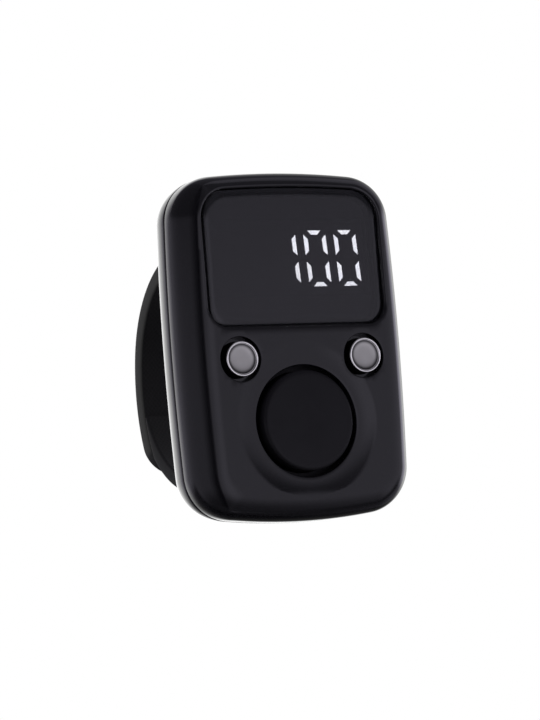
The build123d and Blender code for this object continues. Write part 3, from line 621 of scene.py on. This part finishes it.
matte.set({"Roughness": 0.44 + matte.grain(3.0).step(0.3, 0.8) * 0.1})
matte.relief(matte.grain(0.18), 0.004, 0.4)
matte.on(count_piece)


# Small buttons: two turned metal caps with a polished rim round a satin, dished face, whose colour darkens towards
# its edge as a painted shade under the rim. Each has a keeper flange under the face and a stud on its switch, as the
# count button has.
BUTTON_RADIUS, BUTTON_TOP, BUTTON_RIM, BUTTON_FLANGE = 1.9, 0.4, 0.12, 2.57
HOLLOW_FLOOR, HOLLOW_EDGE = 0.14, 1.62
rim_side, rim_base = BUTTON_RADIUS - BUTTON_RIM, BUTTON_TOP - BUTTON_RIM
hollow_rise = rim_base - HOLLOW_FLOOR
hollow = [(r, HOLLOW_FLOOR + hollow_rise * (r / HOLLOW_EDGE) ** 5, 0) for r in np.linspace(0, HOLLOW_EDGE, 16)]
rim_line = [(rim_side + BUTTON_RIM * cos(b), rim_base + BUTTON_RIM * sin(b), 0) for b in np.linspace(pi, 0, 10)]
button_line = hollow + rim_line + [
    (BUTTON_RADIUS, FLANGE_TOP, SMALL_ROUND),
    (BUTTON_FLANGE, FLANGE_TOP, SMALL_ROUND),
    (BUTTON_FLANGE, FLANGE_FOOT, SMALL_ROUND),
    (STUD, FLANGE_FOOT, SMALL_ROUND),
    (STUD, STUD_FOOT, SMALL_ROUND),
    (0, STUD_FOOT, 0),
]
satin = Finish("satin_metal", {"Metallic": 1.0})
turned_lay = satin.node("ShaderNodeUVMap", {"uv_map": "lay"})
from_axis, height = satin.part(turned_lay, "X"), satin.part(turned_lay, "Y")
polish = from_axis.step(1.60, 1.68) * height.step(0.12, 0.26)
# Painted shade: the satin face's colour darkens from 1.2 mm out to the rim, a dark ring standing in for the rim's
# shadow.
painted_rim_shade = from_axis.step(1.20, 1.58)
centre_with_painted_shade = satin.blend(painted_rim_shade, (0.46, 0.455, 0.425, 1), (0.06, 0.06, 0.058, 1))
satin.set({"Base Color": satin.blend(polish, centre_with_painted_shade, (0.96, 0.95, 0.90, 1))})
satin.set({"Roughness": 0.42 - polish * 0.30 + satin.grain(0.6).step(0.3, 0.8) * 0.05})
satin.relief(satin.grain(0.12), 0.003, 0.3)
for name, side in (("left_button", -1), ("right_button", 1)):
    piece = turned(name + "_cap", name + "_body", side * SMALL_X, SMALL_Y, softened(button_line), 96)
    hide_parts(name)
    satin.on(piece)


# Rear shell: the other half of the moulding, drawn in to the back like a pebble, with four screw wells, two pairs of
# drilled ears for the strap's pins and a slot for the charging socket. A fine parting line shows where it meets the
# front shell.
CASE_DEPTH, PEBBLE, OUTER_REACH, INNER_REACH = 10.9, 4.4, radians(50), radians(68)
SLOT_HALF, SLOT_CORNER, SLOT_DEPTH = (4.67, 1.78), 1.45, 7.32
SCREWS = [(side * 9.15, y) for y in (14.3, -13.8) for side in (-1, 1)]
WELL_RADIUS, WELL_FLOOR, SCREW_HOLE, POST_RADIUS, POST_ROOT = 1.2, 8.2, 0.75, 1.5, 9.0
EAR_RADIUS, EAR_BEVEL, EAR_ROOT, EAR_SIDES, PIN_BORE = 1.7, 0.12, -10.5, (5.15, 6.75), 0.63
LOOP_Y, LOOP_Z, LOOP_INSIDE, WEB, PIN_ANGLE = -0.7, -18.3, 12.0, 1.8, radians(115.73)
MID_LOOP = LOOP_INSIDE + WEB / 2
crown = len(case_edge[0]) // 2
unrolled = [np.concatenate([np.roll(part, -crown, axis=0), part[crown : crown + 1]]) for part in case_edge]
run = np.concatenate([[0], np.cumsum(np.linalg.norm(np.diff(unrolled[0], axis=0), axis=1))])
run -= run[-1] / 2


def slot_edge(spacing):
    """Points round the socket's slot, as the run along the case's foot and the depth below the face."""
    turn = np.linspace(0, pi / 2, 12)
    reach = np.array(SLOT_HALF) - SLOT_CORNER
    quarter = reach + SLOT_CORNER * np.stack([np.cos(turn), np.sin(turn)], axis=1)
    upper = np.concatenate([quarter, (quarter * (-1, 1))[::-1]])
    ring = np.concatenate([upper, -upper, upper[:1]]) + (0, SLOT_DEPTH)
    way = np.concatenate([[0], np.cumsum(np.linalg.norm(np.diff(ring, axis=0), axis=1))])
    even = np.linspace(0, way[-1], int(way[-1] / spacing), endpoint=False)
    return np.stack([np.interp(even, way, ring[:, k]) for k in (0, 1)], axis=1)


def clear_of_wells(points, triangles):
    """A surface less the triangles that reach into a screw's post."""
    x, y = points[:, 0] / MM, points[:, 2] / MM - MIDDLE_AT
    apart = np.min([np.hypot(x - screw[0], y - screw[1]) for screw in SCREWS], axis=0)
    return points, triangles[(apart[triangles] > (WELL_RADIUS + POST_RADIUS) / 2).all(axis=1)]


def side_wall(skin, inset, depth):
    """Adds the wall that a profile of inset and depth sweeps round the case, less the slot; returns the slot's edge.

    The wall is filled while laid out flat, the run round the case against the way down the profile.
    """
    way = np.concatenate([[0], np.cumsum(np.hypot(np.diff(inset), np.diff(depth)))])

    def placed(flat):
        edge, normal = (
            np.stack([np.interp(flat[:, 0], run, part[:, k]) for k in (0, 1)], axis=1) for part in unrolled
        )
        points = edge - np.interp(flat[:, 1], way, inset)[:, None] * normal
        return laid(points[:, 0], points[:, 1], -np.interp(flat[:, 1], way, depth))

    mouth = slot_edge(0.25)
    slot = np.stack([mouth[:, 0], np.interp(mouth[:, 1], depth, way)], axis=1)
    grid = np.stack(np.meshgrid(run, way), axis=-1)
    border = np.concatenate([grid[0], grid[1:, -1], grid[-1, -2::-1], grid[-2:0:-1, 0]])
    inner = grid[1:-1, 1:-1].reshape(-1, 2)
    low, high = slot.min(axis=0) - 0.12, slot.max(axis=0) + 0.12
    flat, triangles = plate(border, [slot], inner[~((inner > low) & (inner < high)).all(axis=1)])
    skin.add(*clear_of_wells(placed(flat), triangles))
    return placed(slot)


def pebble_depth(inset, wall):
    """Depth below the face, at an inset from the case's edge, of the pebble's outside or, with a wall, its inside.

    A quarter ellipse: seam + (depth - wall - seam) * sqrt(1 - u*u), u from 1 at the edge to 0 at PEBBLE in.
    """
    across_it = 1 - np.clip((inset - wall) / (PEBBLE - wall), 0, 1)
    return SEAM_DEPTH + (CASE_DEPTH - wall - SEAM_DEPTH) * np.sqrt(1 - across_it**2)


def ear_edge(pin, grow):
    """An ear's outline as y and z: half round over its pin, then straight down into the back."""
    turn = np.linspace(0, pi, 40)
    over = pin + (EAR_RADIUS + grow) * np.stack([np.cos(turn), -np.sin(turn)], axis=1)
    return np.concatenate([over, [[over[-1, 0], EAR_ROOT], [over[0, 0], EAR_ROOT]]])


rear = Skin()
outer_turn = np.linspace(0, OUTER_REACH, 15)[1:]
inner_turn = np.linspace(0, INNER_REACH, 12)
lip = np.linspace(0, pi / 2, 4)
outer_inset = np.concatenate([SEAM_ROUND * (1 - np.sin(lip)), PEBBLE * (1 - np.cos(outer_turn))])
outer_depth = np.concatenate([SEAM_DEPTH + SEAM_ROUND * (1 - np.cos(lip)), pebble_depth(outer_inset[len(lip) :], 0)])
inner_inset = SHELL_WALL + (PEBBLE - SHELL_WALL) * (1 - np.cos(inner_turn))
outer_slot = side_wall(rear, outer_inset, outer_depth)
inner_slot = side_wall(rear, inner_inset, pebble_depth(inner_inset, SHELL_WALL))
rear.bands([outer_slot, inner_slot])
rear.bands([ring_at(case_edge, -inset, -SEAM_DEPTH) for inset in (SEAM_ROUND, SHELL_WALL)])
lattice = np.stack(np.meshgrid(np.arange(-13, 13.1, 1.0), np.arange(-19, 19.1, 1.0)), axis=-1).reshape(-1, 2)
wells = [circle_loop(x, y, WELL_RADIUS, 60) for x, y in SCREWS]
for wall, start, holes in ((0, outer_inset[-1], wells), (SHELL_WALL, inner_inset[-1], [])):
    insets = np.linspace(start, PEBBLE, 10)[1:]
    inner = np.concatenate([case_edge[0] - inset * case_edge[1] for inset in insets])
    inner = np.concatenate([inner, lattice[inset_of(lattice, case_edge) > PEBBLE + 0.4]])
    for well in holes:
        inner = inner[inset_of(inner, well) < -0.15]
    flat, triangles = plate(case_edge[0] - start * case_edge[1], [well[0] for well in holes], inner)
    surface = laid(flat[:, 0], flat[:, 1], -pebble_depth(inset_of(flat, case_edge), wall)), triangles
    rear.add(*(surface if holes else clear_of_wells(*surface)))
board_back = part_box("main_board")[1][1] / MM - FACE_AT
for well in wells:
    mouth = ring_at(well, 0, -pebble_depth(inset_of(well[0], case_edge), 0))
    steps = [
        (WELL_RADIUS, WELL_FLOOR),
        (SCREW_HOLE, WELL_FLOOR),
        (SCREW_HOLE, board_back),
        (POST_RADIUS, board_back),
        (POST_RADIUS, POST_ROOT),
        (WELL_RADIUS, POST_ROOT),
    ]
    rear.bands([mouth] + [ring_at(well, radius - WELL_RADIUS, -depth) for radius, depth in steps])
for end in (-1, 1):
    pin = np.array([LOOP_Y + end * MID_LOOP * sin(PIN_ANGLE), LOOP_Z - MID_LOOP * cos(PIN_ANGLE)])
    bore, _ = circle_loop(pin[0], pin[1], PIN_BORE, 48)
    full, shy = ear_edge(pin, 0), ear_edge(pin, -EAR_BEVEL)
    cheek, triangles = plate(shy, [bore], np.empty((0, 2)))
    for near, far in (EAR_SIDES, (-EAR_SIDES[1], -EAR_SIDES[0])):
        rims = [(near, shy), (near + EAR_BEVEL, full), (far - EAR_BEVEL, full), (far, shy)]
        rear.bands([laid(x, edge[:, 0], edge[:, 1]) for x, edge in rims])
        rear.bands([laid(x, bore[:, 0], bore[:, 1]) for x in (near, far)])
        for x in (near, far):
            rear.add(laid(x, cheek[:, 0], cheek[:, 1]), triangles)
rear_piece = rear.finished("rear_moulding", "case")
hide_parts("rear_shell")
gloss.on(rear_piece)


# Strap: two halves of dense woven webbing, each folded round a steel pin in the case's ears. The long half's tail
# lies over the short half's thin tongue and grips it face to face.
TAIL_START, TAIL_END, TAIL_EASE, TONGUE_TIP = radians(14), radians(-29.5), 5.9, radians(-20)
LAYER_GAP, FOLD_RADIUS, FOLD_EASE, WEB_HALF, WEB_EDGE, TAIL_CORNER = 0.1, 1.6, 2.2, 5.0, 0.3, 3.5
WEFT_PITCH, WARP_PITCH = 0.62, 0.50


def webbing_piece(name, body, along_path, centre, outward, half, width):
    """A closed band from its line of centres, outward directions, half-thickness and half-width.

    The line's start is the pin: before it the band closes round the pin as a half circle, and its fold eases from
    the fold's radius to the band's own half-thickness. Its lay is the way along the band and across it.
    """
    pin, direction = centre[0], (centre[1] - centre[0]) / np.linalg.norm(centre[1] - centre[0])
    back = -FOLD_RADIUS * np.cos(np.linspace(0, pi / 2, 14, endpoint=False))
    along_path = np.concatenate([back, along_path])
    centre = np.concatenate([pin + back[:, None] * direction, centre])
    outward = np.concatenate([np.repeat(outward[:1], len(back), axis=0), outward])
    width = np.concatenate([np.full(len(back), width[0]), width])
    t = np.clip(along_path / FOLD_EASE, 0, 1)
    fold = np.where(along_path < 0, np.sqrt(np.maximum(FOLD_RADIUS**2 - along_path**2, 0)), FOLD_RADIUS)
    half = np.concatenate([np.zeros(len(back)), half])
    half = np.where(along_path < 0, fold, half + (FOLD_RADIUS - half) * (1 - t * t * (3 - 2 * t)))
    both_along = np.concatenate([along_path, along_path[::-1]])
    both_width = np.concatenate([width, width[::-1]])
    rolls = np.linspace(-pi / 2, pi / 2, 9)
    rings, marks = [], []
    for side, roll in [(-1, b) for b in rolls[:5]] + [(1, b) for b in rolls[4:]]:
        shy = np.maximum(half - WEB_EDGE * (1 - cos(roll)), 0.02 * half)[:, None]
        loop = np.concatenate([centre + shy * outward, (centre - shy * outward)[::-1]])
        x = side * (both_width - WEB_EDGE) + WEB_EDGE * sin(roll)
        rings.append(laid(x, loop[:, 0], loop[:, 1]))
        marks.append(np.stack([both_along, x], axis=-1))
    skin = Skin()
    skin.bands(rings, np.array(marks))
    bore, _ = circle_loop(pin[0], pin[1], PIN_BORE, 48)
    shy = np.maximum(half - WEB_EDGE, 0.02 * half)[:, None]
    edge = np.concatenate([centre + shy * outward, (centre - shy * outward)[::-1]])
    cap, triangles = plate(edge, [bore], np.empty((0, 2)))
    nearest = np.argmin(((cap[:, None] - edge[None]) ** 2).sum(-1), axis=1)
    for side in (-1, 1):
        x = side * both_width[nearest]
        skin.add(laid(x, cap[:, 0], cap[:, 1]), triangles, np.stack([both_along[nearest], x], axis=-1))
    skin.bands([laid(side * width[0], bore[:, 0], bore[:, 1]) for side in (-1, 1)])
    return skin.finished(name, body, 50.0)


def on_ring(centre_y, centre_z, radius, angle):
    """Points and outward directions at angles round a circle, 0 straight back and positive towards the display."""
    outward = np.stack([np.sin(angle), -np.cos(angle)], axis=1)
    return np.array([centre_y, centre_z]) + np.reshape(radius, (-1, 1)) * outward, outward


tail_y, tail_z = LOOP_Y - TAIL_EASE * sin(TAIL_START), LOOP_Z + TAIL_EASE * cos(TAIL_START)
round_angle = np.linspace(PIN_ANGLE, TAIL_START, 90)
tail_angle = np.linspace(TAIL_START, TAIL_END, 60)[1:]
round_centre, round_out = on_ring(LOOP_Y, LOOP_Z, MID_LOOP, round_angle)
tail_centre, tail_out = on_ring(tail_y, tail_z, MID_LOOP + TAIL_EASE, tail_angle)
centre, outward = np.concatenate([round_centre, tail_centre]), np.concatenate([round_out, tail_out])
lengths = np.concatenate([[0], np.cumsum(np.linalg.norm(np.diff(centre, axis=0), axis=1))])
left = lengths[-1] - lengths
width = WEB_HALF - TAIL_CORNER + np.sqrt(TAIL_CORNER**2 - np.clip(TAIL_CORNER - left, 0, TAIL_CORNER) ** 2)
half = WEB / 2 - WEB_EDGE + np.sqrt(WEB_EDGE**2 - np.clip(WEB_EDGE - left, 0, WEB_EDGE) ** 2)
upper_web = webbing_piece("upper_webbing", "upper_strap_body", lengths, centre, outward, half, width)
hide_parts("upper_strap")

angle = np.linspace(-PIN_ANGLE, TONGUE_TIP, 90)
swing = np.cos(TAIL_START - angle)
under_tail = np.sqrt((LOOP_INSIDE + TAIL_EASE - LAYER_GAP) ** 2 - TAIL_EASE**2 * (1 - swing**2)) - TAIL_EASE * swing
outside = np.minimum(LOOP_INSIDE + WEB, under_tail)
centre, outward = on_ring(LOOP_Y, LOOP_Z, (LOOP_INSIDE + outside) / 2, angle)
lengths = np.concatenate([[0], np.cumsum(np.linalg.norm(np.diff(centre, axis=0), axis=1))])
lower_web = webbing_piece(
    "lower_webbing", "lower_strap_body", lengths, centre, outward, (outside - LOOP_INSIDE) / 2,
    np.full(len(angle), WEB_HALF),
)
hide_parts("lower_strap")


def webbing_finish(name, lit_side_colour):
    """A dense black weave, about two threads to the millimetre, whose side faces are painted in a colour of their
    own: painted light where lamps and backdrop fall on them.
    """
    finish = Finish(name, {"Roughness": 0.85, "Specular IOR Level": 0.2})
    finish.set({"Sheen Weight": 0.1, "Sheen Roughness": 0.5})
    lay = finish.node("ShaderNodeUVMap", {"uv_map": "lay"})
    along_web, across_web = finish.part(lay, "X"), finish.part(lay, "Y")
    weft, warp = (along_web * (2 * pi / WEFT_PITCH)).math("SINE"), (across_web * (2 * pi / WARP_PITCH)).math("SINE")
    weave = weft * warp * 0.5 + 0.5
    lightness = weave * 0.6 + finish.grain(0.5) * 0.4
    threads = finish.blend(lightness, (0.004, 0.0038, 0.0046, 1), (0.010, 0.0097, 0.011, 1))
    # Painted light: the outermost quarter millimetre across the web, its side faces, takes a colour of its own.
    lit_side = across_web.math("ABSOLUTE").step(WEB_HALF - 0.25, WEB_HALF - 0.05)
    finish.set({"Base Color": finish.blend(lit_side, threads, lit_side_colour)})
    finish.relief(weave * 0.8 + finish.grain(0.1) * 0.2, 0.03, 0.4)
    return finish


# The long half's sides are painted lighter than its weave, a painted highlight where light falls on them; the short
# half's sides stay about as dark as the weave.
webbing_finish("long_webbing", (0.032, 0.032, 0.031, 1)).on(upper_web)
webbing_finish("short_webbing", (0.007, 0.0068, 0.0078, 1)).on(lower_web)
